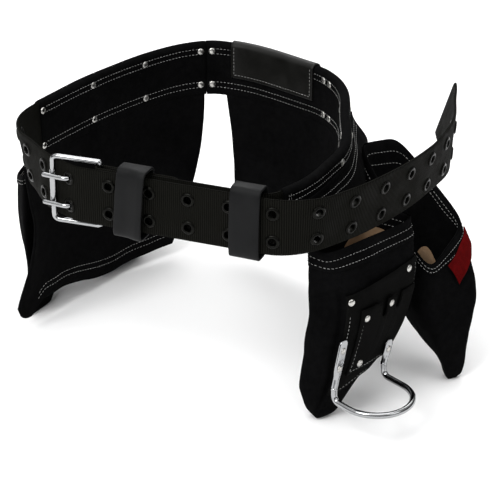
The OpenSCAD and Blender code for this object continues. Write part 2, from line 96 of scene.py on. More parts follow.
def is_straight(a, b):
    x, y = unit(a[2])
    chord = np.array(b[:2]) - np.array(a[:2])
    return all(abs(x * v[1] - y * v[0]) < 1e-6 for v in (unit(b[2]), chord))


def measure_path():
    """Distance along the strap at even steps of each leg: (distance, leg + share of it)."""
    dist, place, knot_s = [0.0], [0.0], [0.0]
    for i, (a, b) in enumerate(zip(KNOTS, KNOTS[1:])):
        gap = norm(np.array(b[:2]) - np.array(a[:2]))
        n = 1 if is_straight(a, b) else max(2, ceil(gap / 7))
        for j in range(1, n + 1):
            dist.append(dist[-1] + norm(bend(a, b, j / n) - bend(a, b, (j - 1) / n)))
            place.append(i + (j / n if j < n else 1.0))
        knot_s.append(dist[-1])
    return np.array(dist), np.array(place), knot_s


DIST, PLACE, KNOT_S = measure_path()
LENGTH = DIST[-1]


def on_path(s):
    x = float(np.interp(s, DIST, PLACE))
    i = min(int(x), len(KNOTS) - 2)
    return bend(KNOTS[i], KNOTS[i + 1], x - i) + SHIFT


def heading(s):
    d = on_path(min(s + 1.5, LENGTH)) - on_path(max(s - 1.5, 0))
    return atan2(d[1], d[0])


def smooth(x):
    x = min(max(x, 0.0), 1.0)
    return x * x * (3 - 2 * x)


LEFT_END = KNOT_S[11] + 8
TAIL_START, TAIL_BEND = KNOT_S[17], KNOT_S[22]


def lean_left(s):
    """How far the strap's lower edge tucks inward at the left end."""
    return 9 * smooth(1 - abs(s - LEFT_END) / 75)


def lean_tail(s):
    """How far the free tail twists, lower edge inward, past the keepers."""
    twist = smooth((s - TAIL_START) / 60) * (1 - 0.6 * smooth((s - TAIL_BEND) / 60))
    return 8 * twist + 13 * smooth((s - LENGTH + 90) / 90)


def belt_point(s, w, z, leans=True):
    """A point s along the strap, w outward from its middle and z up; the strap itself leans."""
    if leans:
        w = w - lean_left(s) * (WEB_Z + WEB_W - z) / WEB_W - lean_tail(s) * (MID_Z - z) / WEB_W
    h = heading(s)
    p = on_path(s) + w * np.array([sin(h), -cos(h)])
    return np.array([p[0], p[1], z])


def belt_out(s):
    h = heading(s)
    return np.array([sin(h), -cos(h), 0.0])


SEAM = KNOT_S[8]
EYELET_S = [s for s in (KNOT_S[14] + k * PITCH for k in range(-3, 13))
            if KNOT_S[10] + 14 < s < LENGTH - 8]
LEFT_RIVET_S = [SEAM + d for d in (6, 72, 143, 218)]
RIGHT_RIVET_S = [SEAM - d for d in (6, 145, 157, 222, 282, 340)]
LEFT_SLEEVE = (SEAM + 0.3, KNOT_S[10] + 4)
RIGHT_SLEEVE = (156.0, SEAM - 0.3)


# ---------- mesh helpers

def circle(steps):
    """Angles spread evenly round a full turn."""
    return np.linspace(0, 2 * pi, steps, endpoint=False)


def add_object(name, data):
    obj = bpy.data.objects.new(name, data)
    bpy.context.scene.collection.objects.link(obj)
    return obj


def make(name, verts, faces, material, body="belt", slot=None, uv=None):
    mesh = bpy.data.meshes.new(name)
    mesh.from_pydata((np.asarray(verts, float) * MM).tolist(), [], [tuple(f) for f in faces])
    mesh.validate()
    if uv is not None:
        layer = mesh.uv_layers.new(name="UVMap")
        loops = np.zeros(len(mesh.loops), int)
        mesh.loops.foreach_get("vertex_index", loops)
        layer.data.foreach_set("uv", np.asarray(uv, float)[loops].ravel())
    mesh.polygons.foreach_set("use_smooth", [True] * len(mesh.polygons))
    mesh.materials.append(material)
    obj = add_object(name, mesh)
    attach(obj, body)
    return obj


class Parts:
    """Gathers many small meshes into one."""

    def __init__(self):
        self.verts, self.faces, self.count = [], [], 0

    def add(self, verts, faces):
        self.verts.append(np.asarray(verts, float))
        self.faces += [tuple(int(i) + self.count for i in f) for f in faces]
        self.count += len(verts)

    def make(self, name, material, **kw):
        return make(name, np.concatenate(self.verts), self.faces, material, **kw)


def grid_of(point, xs, ys):
    """Points of a sheet: one row for each y, one column for each x."""
    return np.array([[point(x, y) for x in xs] for y in ys])


def grid_faces(rows, cols, wrap=False, flip=False):
    faces = []
    for i in range(rows - 1):
        for j in range(cols if wrap else cols - 1):
            k = (j + 1) % cols
            q = (i * cols + j, i * cols + k, (i + 1) * cols + k, (i + 1) * cols + j)
            faces.append(q[::-1] if flip else q)
    return faces


def normals_of(grid):
    n = np.cross(np.gradient(grid, axis=1), np.gradient(grid, axis=0))
    return n / np.maximum(norm(n, axis=2, keepdims=True), 1e-9)


def padded_grid(grid, reach):
    """The grid with one more row and column all round, reach further out."""
    def more(a, b):
        d = a - b
        return a + reach * d / np.maximum(norm(d, axis=-1, keepdims=True), 1e-9)
    g = np.concatenate([more(grid[:1], grid[1:2]), grid, more(grid[-1:], grid[-2:-1])])
    return np.concatenate([more(g[:, :1], g[:, 1:2]), g, more(g[:, -1:], g[:, -2:-1])], axis=1)


def thick_grid(grid, half):
    """A closed sheet of thickness 2 * half round the grid, with rounded edges: (verts, faces)."""
    g = padded_grid(grid, half * 0.8)
    n = normals_of(g)
    n[0], n[-1], n[:, 0], n[:, -1] = n[1], n[-2], n[:, 1], n[:, -2]
    rows, cols = g.shape[:2]
    depth = np.full((rows, cols, 1), half)
    depth[0] = depth[-1] = 0
    depth[:, 0] = depth[:, -1] = 0
    front, back = g + n * depth, g - n * depth
    verts = np.concatenate([front.reshape(-1, 3), back.reshape(-1, 3)])
    shift = rows * cols
    edge = {i * cols + j for i in range(rows) for j in range(cols)
            if i in (0, rows - 1) or j in (0, cols - 1)}
    faces = grid_faces(rows, cols, flip=True)
    for f in grid_faces(rows, cols):
        faces.append(tuple(v if v in edge else v + shift for v in f))
    return verts, faces


def loft(rings, caps=True):
    """A tube through rings of equal length: (verts, faces)."""
    rings = np.asarray(rings, float)
    rows, cols = rings.shape[:2]
    verts = rings.reshape(-1, 3)
    faces = grid_faces(rows, cols, wrap=True)
    if caps:
        faces.append(tuple(range(cols))[::-1])
        faces.append(tuple(range((rows - 1) * cols, rows * cols)))
    return verts, faces


def tube(points, radii, sides=16):
    """A round tube along a 3-D line, with a turning frame that doesn't twist."""
    pts = np.asarray(points, float)
    t = np.gradient(pts, axis=0)
    t /= norm(t, axis=1, keepdims=True)
    side = np.cross(t[0], [0.0, 0.0, 1.0])
    if norm(side) < 0.1:
        side = np.cross(t[0], [0.0, 1.0, 0.0])
    rings = []
    for p, d, r in zip(pts, t, np.broadcast_to(radii, len(pts))):
        side = side - d * (side @ d)
        side /= norm(side)
        up = np.cross(side, d)
        a = circle(sides)[:, None]
        rings.append(p + r * (np.cos(a) * side + np.sin(a) * up))
    return loft(rings)


def turned(profile, centre, normal, steps=24, up=(0.0, 0.0, 1.0)):
    """A profile of (radius, height) turned about the normal at centre: (verts, faces)."""
    n = np.asarray(normal, float) / norm(normal)
    x = np.cross(up, n)
    x /= norm(x)
    y = np.cross(n, x)
    rings = []
    for r, h in profile:
        a = circle(steps)[:, None]
        rings.append(np.asarray(centre) + r * (np.cos(a) * x + np.sin(a) * y) + h * n)
    return loft(rings, caps=False)


def rounded_line(corners, radius, steps=6):
    """A line through corners, with an arc of about that radius at each inner corner."""
    pts = [np.asarray(c, float) for c in corners]
    line = [pts[0]]
    for a, b, c in zip(pts, pts[1:], pts[2:]):
        r = min(radius, norm(a - b) * 0.49, norm(c - b) * 0.49)
        p = b + r * (a - b) / norm(a - b)
        q = b + r * (c - b) / norm(c - b)
        for t in np.linspace(0, 1, steps):
            line.append((1 - t) ** 2 * p + 2 * t * (1 - t) * b + t * t * q)
    line.append(pts[-1])
    return np.array(line)


def resample(points, step):
    pts = np.asarray(points, float)
    d = np.concatenate([[0], np.cumsum(norm(np.diff(pts, axis=0), axis=1))])
    n = max(2, int(round(d[-1] / step)) + 1)
    at = np.linspace(0, d[-1], n)
    return np.stack([np.interp(at, d, pts[:, k]) for k in range(pts.shape[1])], axis=1)


STITCH_ARC = circle(6)
STITCH_LENGTH, STITCH_PITCH, STITCH_W, STITCH_H = 2.2, 3.6, 0.23, 0.26
STITCH_RINGS = ((-0.5, 0.35), (-0.38, 0.9), (0, 1.0), (0.38, 0.9), (0.5, 0.35))


def stitch_line(parts, points, normals):
    """Adds a row of thread stitches lying along a line on a surface."""
    both = resample(np.hstack([points, normals]), STITCH_PITCH)
    pts, nrm = both[:, :3], both[:, 3:]
    tan = np.gradient(pts, axis=0)
    for p, n, t in zip(pts[:-1] * 0.5 + pts[1:] * 0.5, nrm, tan):
        t = t / max(norm(t), 1e-9)
        n = n / max(norm(n), 1e-9)
        b = np.cross(n, t)
        rings = []
        for x, k in STITCH_RINGS:
            c = p + t * x * STITCH_LENGTH + n * (STITCH_H * 0.3 - 0.25 * (2 * x) ** 4)
            rings.append(c + k * (STITCH_W * np.cos(STITCH_ARC)[:, None] * b
                                  + STITCH_H * np.sin(STITCH_ARC)[:, None] * n))
        parts.add(*loft(rings))


def wobble(p, scale, size, seed=0.0):
    """Smooth noise from -size to size at a point given in millimetres."""
    return size * noise.noise(Vector((p[0] / scale + seed, p[1] / scale - seed, p[2] / scale)))


# ---------- materials

def node(tree, kind, **values):
    n = tree.nodes.new(kind)
    for key, value in values.items():
        if key in n.inputs:
            n.inputs[key].default_value = value
        else:
            setattr(n, key, value)
    return n


def new_material(name, **shader):
    m = bpy.data.materials.new(name)
    m.use_nodes = True
    tree = m.node_tree
    bsdf = tree.nodes["Principled BSDF"]
    for key, value in shader.items():
        bsdf.inputs[key.replace("_", " ")].default_value = value
    return m, tree, bsdf


def noise_from(tree, coords, scale, detail, rough=0.55):
    n = node(tree, "ShaderNodeTexNoise", Scale=scale, Detail=detail, Roughness=rough)
    tree.links.new(coords, n.inputs["Vector"])
    return n.outputs["Fac"]


def ramp(tree, fac, stops):
    r = tree.nodes.new("ShaderNodeValToRGB")
    e = r.color_ramp.elements
    e[0].position, e[0].color = stops[0][0], (*stops[0][1], 1)
    e[1].position, e[1].color = stops[-1][0], (*stops[-1][1], 1)
    for at, colour in stops[1:-1]:
        e.new(at).color = (*colour, 1)
    tree.links.new(fac, r.inputs["Fac"])
    return r.outputs["Color"]


def span(tree, fac, low, high, start=0.3, end=0.7):
    """Takes fac from start..end to low..high."""
    n = node(tree, "ShaderNodeMapRange")
    limits = {"From Min": start, "From Max": end, "To Min": low, "To Max": high}
    for key, value in limits.items():
        n.inputs[key].default_value = value
    tree.links.new(fac, n.inputs["Value"])
    return n.outputs["Result"]


def bumps(tree, bsdf, *layers):
    """Stacks bump layers of (height, strength, distance)."""
    last = None
    for height, strength, distance in layers:
        b = node(tree, "ShaderNodeBump", Strength=strength, Distance=distance)
        tree.links.new(height, b.inputs["Height"])
        if last is not None:
            tree.links.new(last, b.inputs["Normal"])
        last = b.outputs["Normal"]
    tree.links.new(last, bsdf.inputs["Normal"])


def blended(tree, fac, share, plus=None):
    """fac times share, with another output added to it."""
    n = node(tree, "ShaderNodeMath", operation="MULTIPLY_ADD")
    tree.links.new(fac, n.inputs[0])
    n.inputs[1].default_value = share
    n.inputs[2].default_value = 0.0
    if plus is not None:
        tree.links.new(plus, n.inputs[2])
    return n.outputs[0]


def coat(tree, bsdf, fac, stops, cloud=None, rough=None):
    """Colours the surface from fac by stops, and its roughness from cloud over a range."""
    tree.links.new(ramp(tree, fac, stops), bsdf.inputs["Base Color"])
    if rough:
        tree.links.new(span(tree, cloud, *rough), bsdf.inputs["Roughness"])


def object_coords(tree):
    return tree.nodes.new("ShaderNodeTexCoord").outputs["Object"]


def suede_material(name, dark, light, sheen=0.003, level=0.012):
    m, tree, bsdf = new_material(name, Roughness=0.92, Sheen_Weight=sheen, Sheen_Roughness=0.5,
                                 Specular_IOR_Level=level)
    at = object_coords(tree)
    cloud = noise_from(tree, at, 26, 7, 0.6)
    nap = noise_from(tree, at, 170, 5, 0.6)
    fine = noise_from(tree, at, 1300, 3)
    both = blended(tree, nap, 0.45, blended(tree, cloud, 0.55))
    coat(tree, bsdf, both, [(0.32, dark), (0.68, light)], cloud, (0.84, 0.98))
    bumps(tree, bsdf, (cloud, 0.45, 0.003), (nap, 0.4, 0.0007), (fine, 0.5, 0.0003))
    return m


def webbing_material():
    """Ribs 1.9 mm apart across the strap, crossed by fine picks; UVs are in metres."""
    m, tree, bsdf = new_material("webbing", Roughness=0.75, Specular_IOR_Level=0.03,
                                 Sheen_Weight=0.002)
    coords = tree.nodes.new("ShaderNodeTexCoord").outputs["UV"]
    waves = []
    for direction, scale, stir in (("X", 165.3, 0.0), ("Y", 260.0, 0.5)):
        wave = node(tree, "ShaderNodeTexWave", Scale=scale, Distortion=stir, wave_type="BANDS",
                    bands_direction=direction, wave_profile="SIN")
        tree.links.new(coords, wave.inputs["Vector"])
        waves.append(wave.outputs["Fac"])
    ribs, picks = waves
    cloud = noise_from(tree, object_coords(tree), 60, 5)
    stops = [(0.1, (0.0008, 0.0008, 0.0006)), (1.0, (0.0074, 0.0073, 0.0058))]
    coat(tree, bsdf, blended(tree, cloud, 0.4, ribs), stops, cloud, (0.6, 0.85))
    bumps(tree, bsdf, (ribs, 0.8, 0.0005), (picks, 0.25, 0.0002))
    return m


def leather_material(name, dark, light, rough, level):
    m, tree, bsdf = new_material(name, Roughness=rough, Specular_IOR_Level=level)
    at = object_coords(tree)
    cloud = noise_from(tree, at, 55, 5)
    grain = node(tree, "ShaderNodeTexVoronoi", Scale=1500.0)
    tree.links.new(at, grain.inputs["Vector"])
    coat(tree, bsdf, cloud, [(0.3, dark), (0.7, light)], cloud, (rough - 0.08, rough + 0.1))
    bumps(tree, bsdf, (cloud, 0.12, 0.001), (grain.outputs["Distance"], 0.25, 0.0002))
    return m


def metal_material(name, colour, rough, scratch):
    m, tree, bsdf = new_material(name, Metallic=1.0, Roughness=rough)
    at = object_coords(tree)
    cloud = noise_from(tree, at, 120, 6)
    dull = tuple(c * 0.86 for c in colour)
    coat(tree, bsdf, cloud, [(0.35, colour), (0.75, dull)], cloud, (rough * 0.7, rough * 1.6))
    bumps(tree, bsdf, (cloud, scratch, 0.0002))
    return m


def thread_material():
    m, tree, bsdf = new_material("thread", Roughness=0.75, Specular_IOR_Level=0.3)
    cloud = noise_from(tree, object_coords(tree), 300, 3)
    coat(tree, bsdf, cloud, [(0.3, (0.16, 0.16, 0.156)), (0.7, (0.40, 0.40, 0.39))])
    twist = node(tree, "ShaderNodeTexWave", Scale=900.0, Distortion=1.0)
    tree.links.new(object_coords(tree), twist.inputs["Vector"])
    bumps(tree, bsdf, (twist.outputs["Fac"], 0.4, 0.0002))
    return m


SUEDE = suede_material("suede_black", (0.0013, 0.0013, 0.0014), (0.0040, 0.0040, 0.0042))
WEBBING = webbing_material()
LEATHER = leather_material("leather_keeper", (0.0056, 0.0058, 0.0060), (0.0092, 0.0094, 0.0098),
                           0.5, 0.075)
PATCH = leather_material("leather_smooth", (0.0036, 0.0036, 0.0031), (0.0072, 0.0072, 0.0064),
                         0.42, 0.16)
PLATE = leather_material("leather_tool", (0.0018, 0.0018, 0.0017), (0.0048, 0.0048, 0.0046),
                         0.72, 0.018)
TAN = suede_material("suede_tan", (0.26, 0.16, 0.085), (0.42, 0.28, 0.17), 0.1, 0.1)
RED = suede_material("leather_red", (0.045, 0.0012, 0.0014), (0.095, 0.0022, 0.0026), 0.003, 0.02)
CHROME = metal_material("chrome", (0.36, 0.365, 0.372), 0.1, 0.03)
NICKEL = metal_material("nickel", (0.52, 0.51, 0.485), 0.26, 0.2)
EYELET = metal_material("eyelet_black", (0.010, 0.010, 0.009), 0.3, 0.1)
THREAD = thread_material()


# ---------- rivet caps

RIVET_CAP = [(0.02, 1.3), (1.2, 1.22), (2.3, 0.95), (3.0, 0.55), (3.35, 0.1), (3.25, -0.5)]
CHAPE_CAP = [(0.01, 0.9), (1.5, 0.8), (2.7, 0.45), (3.2, 0), (1.6, -0.2)]
LOOP_CAP = [(0.02, 1.0), (1.4, 0.9), (2.4, 0.6), (3.1, 0.1), (3.0, -0.4)]


def build_caps(name, places, piece, profile=RIVET_CAP, steps=24):
    """Rivet caps at places of (centre, normal), as one piece."""
    parts = Parts()
    for centre, normal in places:
        parts.add(*turned(profile, centre, normal, steps))
    obj = parts.make(name, NICKEL, slot="nickel")
    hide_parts(piece)


# ---------- strap and eyelets

HOLE_GRID = (-HOLE_R, -HOLE_R / 2, 0, HOLE_R / 2, HOLE_R)


def strap_rows():
    """Heights of the strap's grid: close together at the eyelets and the edges."""
    rows = [WEB_Z, WEB_Z + WEB_W]
    for z in ROW_Z:
        rows += [z + d for d in HOLE_GRID]
    rows += [WEB_Z + d for d in (0.8, 2.4, 5.2, 20.8, 23.2, 25.4, 27.6, 30.0, 46.0, 48.4, 50.0)]
    return sorted(rows)


def strap_stations():
    fixed = [s + d for s in EYELET_S for d in HOLE_GRID]
    loose = [s for s in np.arange(0, LENGTH, 2.2) if min(abs(s - f) for f in fixed) > 1.1]
    return sorted(fixed + loose + [LENGTH])


def round_hole(s, z):
    """Moves a grid point beside an eyelet on to the hole's edge: (s, z, inside)."""
    for es in EYELET_S:
        for ez in ROW_Z:
            x, y = s - es, z - ez
            reach = max(abs(x), abs(y))
            if reach < HOLE_R - 0.1:
                return s, z, True
            if reach < HOLE_R + 0.1:
                k = HOLE_R / hypot(x, y)
                return es + x * k, ez + y * k, False
    return s, z, False


def build_strap():
    rows, stations = strap_rows(), strap_stations()
    verts, uv, inside = [], [], []
    for side in (1, -1):
        for s0 in stations:
            for z0 in rows:
                s, z, gone = round_hole(s0, z0)
                edge = min(z - WEB_Z, WEB_Z + WEB_W - z)
                half = WEB_T / 2 * (0.45 + 0.55 * smooth(edge / 1.2))
                verts.append(belt_point(s, side * half, z))
                uv.append((s * MM, z * MM))
                inside.append(gone)
    n, m = len(stations), len(rows)
    faces = []
    for f in grid_faces(n, m):
        if any(inside[v] for v in f):
            continue
        faces.append(f)
        faces.append(tuple(v + n * m for v in f[::-1]))
    rim = ([(i, 0) for i in range(n)] + [(n - 1, j) for j in range(m)]
           + [(n - 1 - i, m - 1) for i in range(n)] + [(0, m - 1 - j) for j in range(m)])
    for (a, b), (c, d) in zip(rim, rim[1:]):
        if (a, b) != (c, d):
            p, q = a * m + b, c * m + d
            faces.append((q, p, p + n * m, q + n * m))
    obj = make("strap_web", verts, faces, WEBBING, slot="webbing", uv=uv)
    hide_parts("web_loop", "web_front", "web_tail")


def eyelet_frame(s, z):
    """An eyelet's centre, and the strap's outward and upward directions there."""
    c = belt_point(s, 0, z)
    up = belt_point(s, 0, z + 1) - c
    out = belt_out(s)
    out = out - up * (out @ up) / (up @ up)
    return c, out / norm(out), up


def build_eyelets():
    half = [(4.1, 1.4), (5.7, 1.55), (6.1, 1.85), (6.0, 2.2), (5.4, 2.65), (4.6, 2.95),
            (3.9, 2.9), (3.5, 2.5), (3.4, 1.7)]
    ring = [(r, -h) for r, h in half[::-1]] + half + [(3.4, -1.7)]
    for z, name in zip(ROW_Z, ("upper", "lower")):
        parts = Parts()
        for s in EYELET_S:
            c, out, up = eyelet_frame(s, z)
            parts.add(*turned(ring, c, out, 28, up))
        obj = parts.make("eyelets_" + name, EYELET, slot="eyelet_black")
        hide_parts(name + "_eyelets")


# ---------- buckle and keepers

def at_heel(u, w, z):
    p = along(u, w) + SHIFT
    return np.array([p[0], p[1], z])


BUCKLE_LENGTH, BUCKLE_HALF, BUCKLE_TURN = 43.7, 29.5, 182.9
ROD_R, ROD_BEND = 2.25, 5.2
JOIN = 9 - BUCKLE_HALF
ROLLER = [(2.32, -17), (2.5, -17), (2.8, -16.7), (2.9, -16), (2.9, 16), (2.8, 16.7),
          (2.5, 17), (2.32, 17), (2.32, -17)]


def build_buckle():
    """A bent rod that closes on the heel bar, and a roller on the front bar."""
    turn = unit(FRONT + BUCKLE_TURN)

    def place(x, z):
        return np.array([*(HEEL + SHIFT + x * turn), MID_Z + z])
    corners = [place(x, z) for x, z in ((0, JOIN), (0, -BUCKLE_HALF), (BUCKLE_LENGTH, -BUCKLE_HALF),
                                        (BUCKLE_LENGTH, BUCKLE_HALF), (0, BUCKLE_HALF))]
    line = np.concatenate([rounded_line(corners, ROD_BEND, 10), [place(0, JOIN)]])
    obj = make("buckle_rod_frame", *tube(resample(line, 1.2), ROD_R, 20), CHROME, slot="chrome")
    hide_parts("buckle_frame")
    bar = turned(ROLLER, place(BUCKLE_LENGTH, 0), (0, 0, 1), 28, (1, 0, 0))
    obj = make("buckle_roller", *bar, CHROME, body="front_roller", slot="chrome")
    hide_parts("front_roller")


PRONG_RUN = [(-2.6, 0), (-23.8, -0.4), (-27.9, 8.8), (-43.6, 7.6), (-52, 6.5)]
PRONG_R, PRONG_TIP = 2.05, 1.6
PRONG_EYE = [(2.31, -2.5), (3.5, -2.5), (4.0, -2.0), (4.0, 2.0), (3.5, 2.5), (2.31, 2.5),
             (2.31, -2.5)]


def build_prongs():
    """Two prongs: an eye round the heel bar, a rise over the webbing, and a rounded tip."""
    for z, name in zip(ROW_Z, ("upper", "lower")):
        line = resample(rounded_line(PRONG_RUN, 4.0, 8), 0.8)
        pts = [at_heel(u, w, z) for u, w in line]
        ends = np.minimum(np.arange(len(pts)), np.arange(len(pts))[::-1]) * 0.8
        blunt = 1 - (1 - np.clip(ends / PRONG_TIP, 0, 1)) ** 2
        parts = Parts()
        parts.add(*tube(pts, PRONG_R * np.sqrt(np.clip(blunt, 0.02, 1)), 18))
        parts.add(*turned(PRONG_EYE, at_heel(0, 0, z), (0, 0, 1), 28, (1, 0, 0)))
        obj = parts.make("buckle_prong_" + name, CHROME, body="prong_" + name, slot="chrome")
        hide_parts("prong_" + name)


CHAPE_R, CHAPE_HALF, CHAPE_SHORT, CHAPE_LONG, CHAPE_ROUND = 3.45, 24.9, 24, 75, 9
SLOT_DEPTH, SLOT_HALF = 5.5, 3.2


def build_chape():
    """The folded end of the webbing that holds the heel bar, slotted for the prongs.

    Its short layer lies outside and its long layer, with a rounded end, inside."""
    run = [(CHAPE_SHORT, CHAPE_R)]
    run += [(CHAPE_R * cos(a), CHAPE_R * sin(a))
            for a in np.linspace(pi / 2, 3 * pi / 2, 15)]
    run += [(x, -CHAPE_R) for x in np.linspace(4, CHAPE_LONG, 26)]
    grid = []
    for u, w in run:
        end = max(0.0, u - CHAPE_LONG + CHAPE_ROUND) / CHAPE_ROUND if w < 0 else 0.0
        h = CHAPE_HALF - CHAPE_ROUND * (1 - sqrt(max(0.0, 1 - end * end)))
        grid.append([at_heel(u, w, MID_Z + h * k) for k in np.linspace(-1, 1, 22)])
    verts, faces = thick_grid(np.array(grid), 0.95)

    def in_slot(f):
        c = verts[list(f)].mean(axis=0)
        u = (c[:2] - HEEL - SHIFT) @ unit(FRONT)
        return u < SLOT_DEPTH and any(abs(c[2] - z) < SLOT_HALF for z in ROW_Z)
    keep = [f for f in faces if not in_slot(f)]
    uv = [((v[:2] - HEEL) @ unit(FRONT) * MM, v[2] * MM) for v in verts]
    obj = make("chape_fold", verts, keep, WEBBING, slot="webbing", uv=uv)
    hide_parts("buckle_chape")
    out = np.array([*unit(FRONT - 90), 0.0])
    places = [(at_heel(19, side * 4.45, z), side * out) for z in (MID_Z - 7, MID_Z + 7)
              for side in (1, -1)]
    build_caps("chape_caps", places, "chape_rivets", CHAPE_CAP, 20)


KEEPER_IN, KEEPER_OUT, KEEPER_T, KEEPER_W, KEEPER_H = -4.9, 11.1, 2.5, 27.0, 65.0
HALF_SECTION = [(-0.985, 0.8), (-0.93, 1), (-0.5, 1), (0, 1), (0.5, 1), (0.93, 1), (0.985, 0.8)]
KEEPER_SECTION = ([(-1, 0.35)] + HALF_SECTION + [(1, 0.35), (1, -0.35)]
                  + [(-x, -y) for x, y in HALF_SECTION] + [(-1, -0.35)])


def build_keeper(name, u0, flare, skew):
    """A leather band folded round the strap, skewed, its right edge standing off by flare."""
    mid_w = (KEEPER_IN + KEEPER_OUT) / 2
    half_w = (KEEPER_OUT - KEEPER_IN) / 2 + KEEPER_T / 2
    half_h = KEEPER_H / 2 - KEEPER_T / 2
    loop = []
    for a in circle(72):
        c, s = cos(a), sin(a)
        k = 1 / max(abs(c) ** 5 + abs(s) ** 5, 1e-9) ** 0.2
        loop.append((mid_w + half_w * c * k, half_h * s * k))
    loop = np.array(loop)
    tangent = np.roll(loop, -1, axis=0) - np.roll(loop, 1, axis=0)
    tangent /= norm(tangent, axis=1, keepdims=True)
    out = np.stack([tangent[:, 1], -tangent[:, 0]], axis=1)
    rings = []
    for (w, z), n in zip(loop, out):
        outer = smooth((w - KEEPER_IN) / (KEEPER_OUT - KEEPER_IN))
        ring = []
        for x, y in KEEPER_SECTION:
            u = u0 + x * KEEPER_W / 2 + skew * z / half_h
            lift = flare * smooth((x + 0.4) / 1.4) * outer
            dw, dz = n * y * KEEPER_T / 2
            ring.append(at_heel(u, w + lift + dw, MID_Z + z + dz))
        rings.append(ring)
    rings.append(rings[0])
    verts, faces = loft(rings, caps=False)
    obj = make("band_" + name, verts, faces, LEATHER, body=name, slot="smooth_leather")
    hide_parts(name)


# ---------- sleeves, rivets and back patch

def sleeve_section():
    """(w, z) round the folded sleeve, from the inner layer's foot over the fold and back."""
    out, inn, top = SLEEVE_OUT, SLEEVE_IN, SLEEVE_TOP
    outer = [(-out, z) for z in np.linspace(SLEEVE_Z + 0.6, top - 4.4, 16)]
    outer += [(-out * cos(a), top - out + out * sin(a))
              for a in np.linspace(0.15, pi - 0.15, 12)]
    outer += [(out, z) for z in np.linspace(top - 4.4, SLEEVE_Z + 0.6, 16)]
    foot = [(out - 0.4, SLEEVE_Z), (inn + 0.4, SLEEVE_Z), (inn, SLEEVE_Z + 0.6)]
    inner = [(inn, top - 5), (-inn, top - 5)]
    back = [(-inn, SLEEVE_Z + 0.6), (-inn - 0.4, SLEEVE_Z), (-out + 0.4, SLEEVE_Z)]
    return outer + foot + inner + back


def sleeve_offset(s, w, z):
    """How far the suede puckers in or out at a place on the sleeve."""
    if abs(w) < SLEEVE_OUT - 0.2:
        return 0.0
    seam = sum(exp(-((z - c) / 2.2) ** 2) for c in RIVET_Z)
    return copysign(0.25 - 0.5 * seam + wobble((s, w * 20, z), 22, 0.45), w)


def build_sleeve(name, ends, piece):
    section = sleeve_section()
    stations = np.linspace(ends[0], ends[1], int((ends[1] - ends[0]) / 3))
    rings = []
    for s in stations:
        tip = min(s - ends[0], ends[1] - s)
        pinch = 1 - 0.12 * (1 - smooth(tip / 2.0))
        rings.append([belt_point(s, w * pinch + sleeve_offset(s, w, z),
                                 z + (wobble((s, 0, 9), 45, 0.7) if z > 215 else 0), False)
                      for w, z in section])
    verts, faces = loft(rings)
    obj = make(name, verts, faces, SUEDE, slot="suede")
    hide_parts(piece)


def sleeve_line(s0, s1, z, side):
    """Points and normals along one side (1 outside, -1 inside) of the sleeve at a height z."""
    ss = np.arange(s0, s1, 2.0)
    w = side * SLEEVE_OUT
    pts = [belt_point(s, w + side * 0.1 + sleeve_offset(s, w, z), z, False) for s in ss]
    return pts, [side * belt_out(s) for s in ss]


def build_sleeve_stitches():
    """Two rows beside each line of rivets, and two short upright rows at the right end."""
    parts = Parts()
    for a, b in (LEFT_SLEEVE, RIGHT_SLEEVE):
        for centre in RIVET_Z:
            for dz in (2.6, -2.6):
                for side in (1, -1):
                    stitch_line(parts, *sleeve_line(a + 4, b - 4, centre + dz, side))
    s = RIGHT_SLEEVE[0] + 4
    zs = np.linspace(RIVET_Z[0] - 5, RIVET_Z[0] + 5, 6)
    for side in (1, -1):
        for ds in (0, 2.5):
            w = side * (SLEEVE_OUT + 0.2)
            pts = [belt_point(s + ds, w, z, False) for z in zs]
            stitch_line(parts, pts, [side * belt_out(s)] * len(zs))
    parts.make("thread_sleeves", THREAD)


def sleeve_caps(stations):
    return [(belt_point(s, side * (SLEEVE_OUT + 0.1), z, False), side * belt_out(s))
            for s in stations for z in RIVET_Z for side in (1, -1)]


def build_back_patch():
    """Smooth leather folded over the sleeve's top, sewn along three edges of each face."""
    a, b = SEAM - 128, SEAM - 28
    top, face, drop = SLEEVE_TOP + 0.2, SLEEVE_OUT + 1.0, 34
    run = [(-face, z) for z in np.linspace(top - drop, top - 4, 14)]
    run += [(-face * cos(t), top - 4 + 4.9 * sin(t))
            for t in np.linspace(0.2, pi - 0.2, 12)]
    run += [(face, z) for z in np.linspace(top - 4, top - drop, 14)]
    stations = np.linspace(a, b, 40)
    grid = np.array([[belt_point(s, w, z, False) for w, z in run] for s in stations])
    verts, faces = thick_grid(grid, 0.8)
    obj = make("back_patch_leather", verts, faces, PATCH, slot="smooth_leather")
    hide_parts("back_patch")
    zs = np.linspace(top - drop + 3, top - 3, 12)
    lines = [[(s, top - drop + 3) for s in np.linspace(a + 3, b - 3, 40)],
             [(a + 3, z) for z in zs], [(b - 3, z) for z in zs]]
    parts = Parts()
    for side in (1, -1):
        w = side * (face + 0.9)
        for line in lines:
            pts = [belt_point(s, w, z, False) for s, z in line]
            stitch_line(parts, pts, [side * belt_out(s) for s, z in line])
    parts.make("thread_back_patch", THREAD)


# ---------- hanging panels

